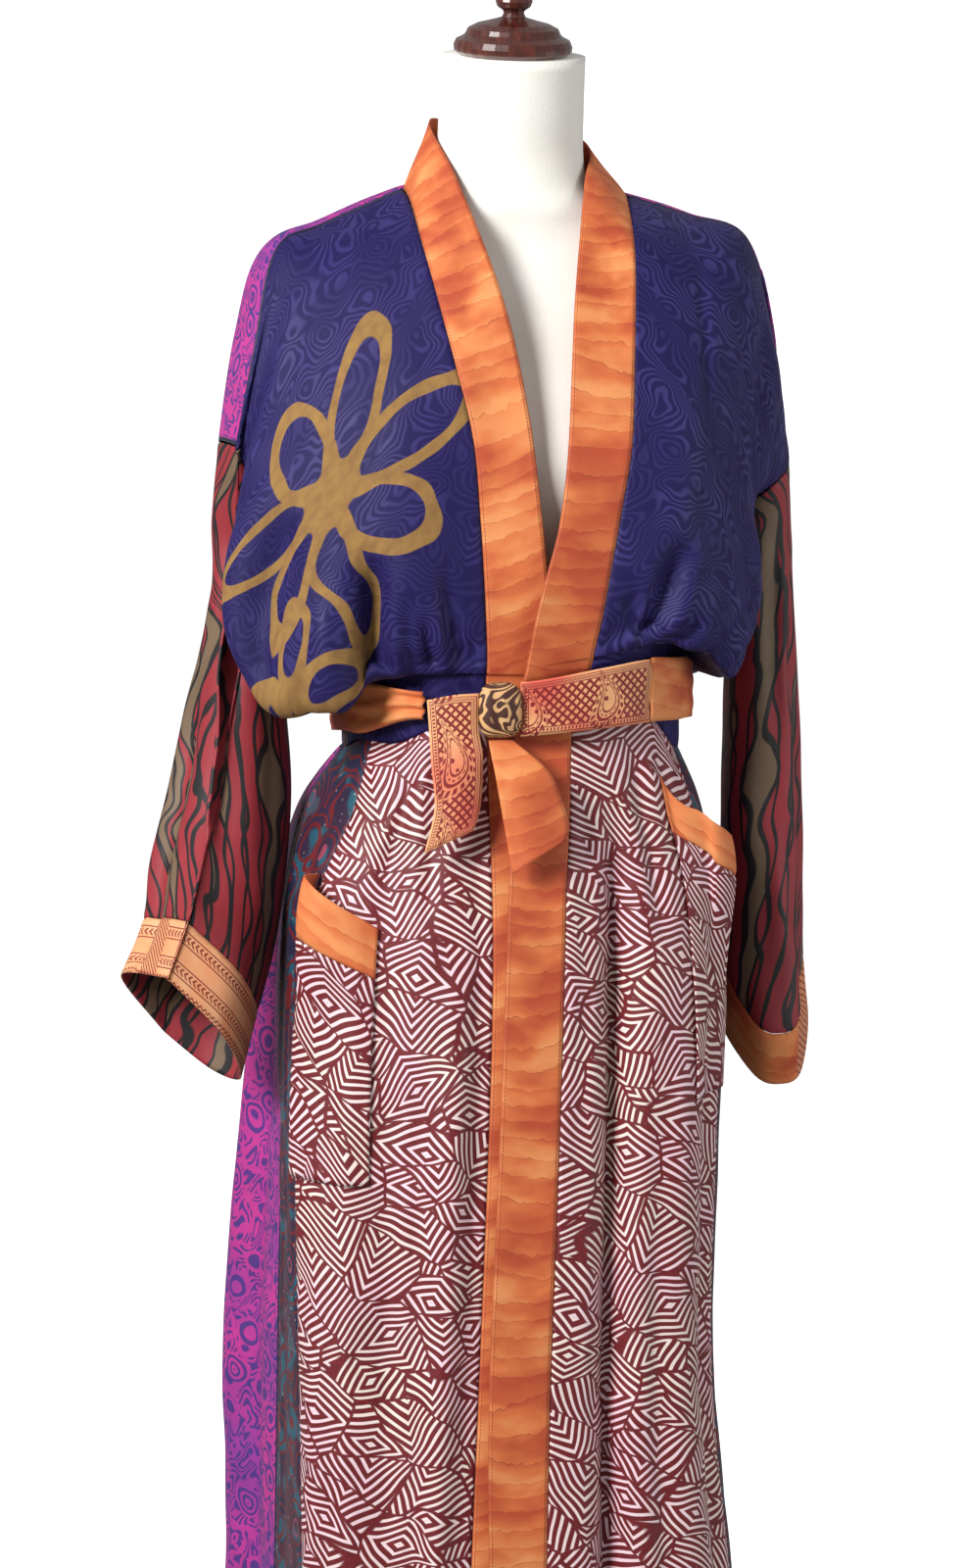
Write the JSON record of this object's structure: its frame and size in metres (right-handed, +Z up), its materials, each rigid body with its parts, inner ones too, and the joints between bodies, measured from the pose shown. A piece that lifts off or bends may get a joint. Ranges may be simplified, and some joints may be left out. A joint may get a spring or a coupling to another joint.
{
  "type": "kimono duster worn on a dress form",
  "caption": "Wrap-front kimono duster in pieced prints with open sleeves, patch pockets and a tied sash, worn on a limbless dress form with a turned stand.",
  "frame": {"origin": "centre of the underside of the stand's base, on the floor", "axes": "+Z up the pole to the finial, -Y out of the garment's open front, +X towards the wearer's left"},
  "size_m": [0.5601, 0.3902, 1.6034],
  "materials": {
    "indigo_satin": "satin",
    "magenta_print": "satin",
    "sleeve_print": "satin",
    "cuff_peach": "satin",
    "orange_batik": "matte",
    "maroon_print": "satin",
    "navy_floral": "satin",
    "coral_print": "satin",
    "form_cover": "matte",
    "dark_wood": "gloss"
  },
  "bodies": {
    "root": {"front_right": "indigo_satin", "front_left": "indigo_satin", "bodice_back": "magenta_print", "sleeve_right": "sleeve_print", "cuff_right": "cuff_peach", "pocket_band_right": "orange_batik", "pocket_right": "maroon_print", "sleeve_left": "sleeve_print", "cuff_left": "cuff_peach", "pocket_band_left": "orange_batik", "pocket_left": "maroon_print", "skirt_front_right": "maroon_print", "side_panel_right": "navy_floral", "skirt_back": "magenta_print", "side_panel_left": "navy_floral", "skirt_front_left": "maroon_print", "neckband_right": "orange_batik", "neckband_left": "orange_batik", "belt_plain": "orange_batik", "belt_print": "coral_print", "belt_knot": "coral_print", "belt_tail_print": "coral_print", "belt_tail_plain": "orange_batik", "form_torso": "form_cover", "form_cap": "dark_wood", "form_finial": "dark_wood", "form_pole": "dark_wood", "form_base": "dark_wood"}
  },
  "joints": []
}
